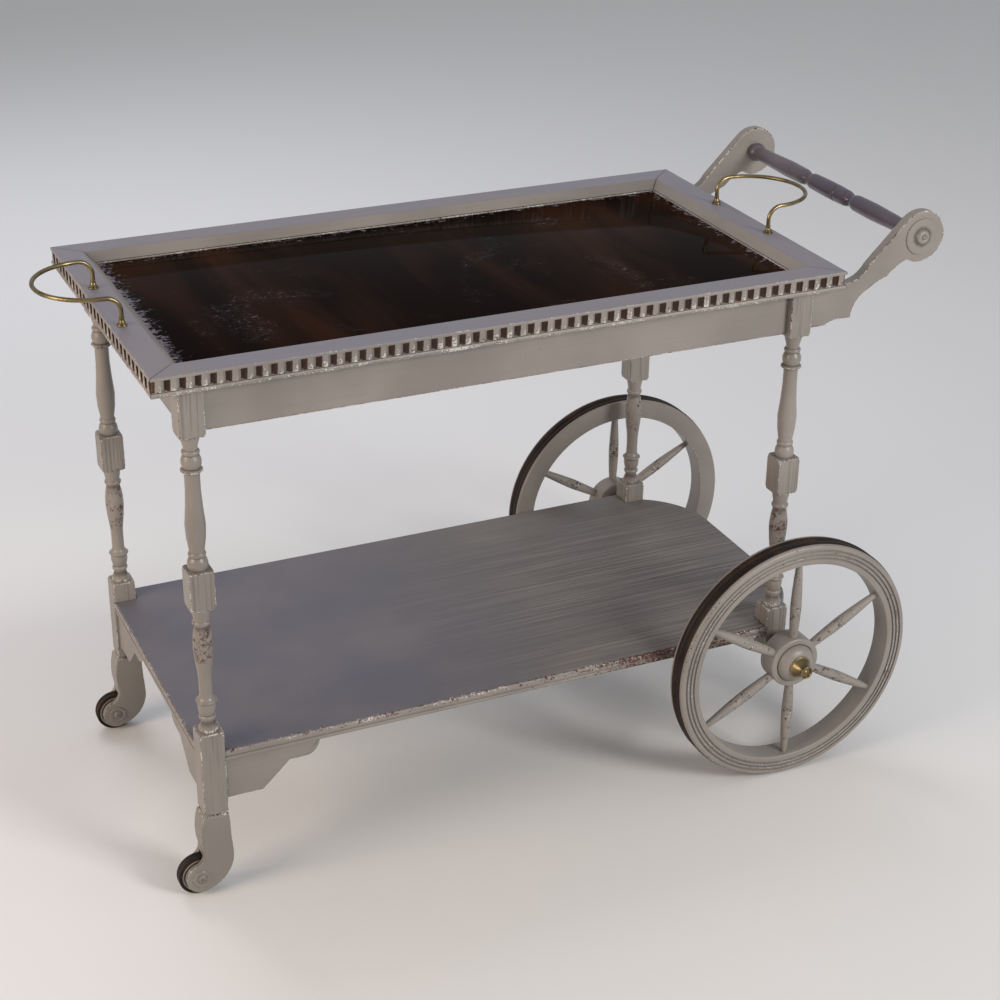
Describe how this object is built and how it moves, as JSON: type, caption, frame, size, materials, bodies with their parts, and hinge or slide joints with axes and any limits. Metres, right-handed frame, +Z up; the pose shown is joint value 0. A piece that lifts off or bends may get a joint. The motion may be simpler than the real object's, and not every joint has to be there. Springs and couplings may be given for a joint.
{
  "type": "tea cart",
  "caption": "Painted wooden tea cart: lift-off glass tray with brass bow handles, turned legs, lower shelf, push handle, large spoked wheels and small swivel castors.",
  "frame": {"origin": "on the floor, below the middle of the whole cart", "axes": "+X along the cart to the push handle, +Y to the back long side, +Z up"},
  "size_m": [1.1568, 0.625, 0.788],
  "materials": {
    "painted_wood": "distressed grey paint over wood",
    "smoked_glass": "dark smoked glass, glossy with dust",
    "brass": "aged brass",
    "tyre": "worn black rubber",
    "steel": "plain steel",
    "plywood": "bare board",
    "bronze": "plain bearing bronze"
  },
  "bodies": {
    "cart_frame": {"apron_front": "painted_wood", "apron_back": "painted_wood", "apron_left": "painted_wood", "apron_right": "painted_wood", "leg_front_left": "painted_wood", "leg_back_left": "painted_wood", "post_front_right": "painted_wood", "post_back_right": "painted_wood", "lower_shelf": "painted_wood", "bracket_front": "painted_wood", "bracket_back": "painted_wood", "bracket_left_front": "painted_wood", "bracket_left_back": "painted_wood", "handle_arm_front": "painted_wood", "handle_arm_back": "painted_wood", "push_bar": "painted_wood", "handle_rosette_front": "painted_wood", "handle_rosette_back": "painted_wood", "axle": "steel", "axle_washers": "steel", "axle_nuts": "steel", "castor_sockets": "steel", "axle_bushes": "bronze"},
    "tray": {"tray_rail_front": "painted_wood", "tray_rail_back": "painted_wood", "tray_rail_left": "painted_wood", "tray_rail_right": "painted_wood", "tray_glass": "smoked_glass", "tray_backing_board": "plywood", "tray_battens": "plywood", "tray_handle_left": "brass", "tray_handle_right": "brass", "tray_handle_screws": "steel"},
    "wheel_front": {"wheel_rim_front": "painted_wood", "wheel_hub_front": "painted_wood", "wheel_spokes_front": "painted_wood", "wheel_tyre_front": "tyre", "wheel_bush_front": "bronze", "wheel_cap_front": "brass"},
    "castor_front": {"castor_horn_front": "painted_wood", "castor_rosettes_front": "painted_wood", "castor_stem_front": "steel", "castor_pin_front": "steel"},
    "castor_roller_front": {"castor_wheel_front": "painted_wood", "castor_tyre_front": "tyre"},
    "wheel_back": {"wheel_rim_back": "painted_wood", "wheel_hub_back": "painted_wood", "wheel_spokes_back": "painted_wood", "wheel_tyre_back": "tyre", "wheel_bush_back": "bronze", "wheel_cap_back": "brass"},
    "castor_back": {"castor_horn_back": "painted_wood", "castor_rosettes_back": "painted_wood", "castor_stem_back": "steel", "castor_pin_back": "steel"},
    "castor_roller_back": {"castor_wheel_back": "painted_wood", "castor_tyre_back": "tyre"}
  },
  "joints": [
    {"name": "tray_lift", "type": "slide", "parent": "cart_frame", "child": "tray", "axis": [0, 0, 1], "range_m": [0, 0.15]},
    {"name": "wheel_front_spin", "type": "hinge", "parent": "cart_frame", "child": "wheel_front", "pos_m": [0.3609, -0.266, 0.1805], "axis": [0, 1, 0], "continuous": true},
    {"name": "castor_front_swivel", "type": "hinge", "parent": "cart_frame", "child": "castor_front", "pos_m": [-0.4531, -0.2125, 0.06], "axis": [0, 0, 1], "continuous": true},
    {"name": "castor_roller_front_spin", "type": "hinge", "parent": "castor_front", "child": "castor_roller_front", "pos_m": [-0.4776, -0.2125, 0.028], "axis": [0, 1, 0], "continuous": true},
    {"name": "wheel_back_spin", "type": "hinge", "parent": "cart_frame", "child": "wheel_back", "pos_m": [0.3609, 0.266, 0.1805], "axis": [0, 1, 0], "continuous": true},
    {"name": "castor_back_swivel", "type": "hinge", "parent": "cart_frame", "child": "castor_back", "pos_m": [-0.4531, 0.2125, 0.06], "axis": [0, 0, 1], "continuous": true},
    {"name": "castor_roller_back_spin", "type": "hinge", "parent": "castor_back", "child": "castor_roller_back", "pos_m": [-0.4776, 0.2125, 0.028], "axis": [0, 1, 0], "continuous": true}
  ]
}
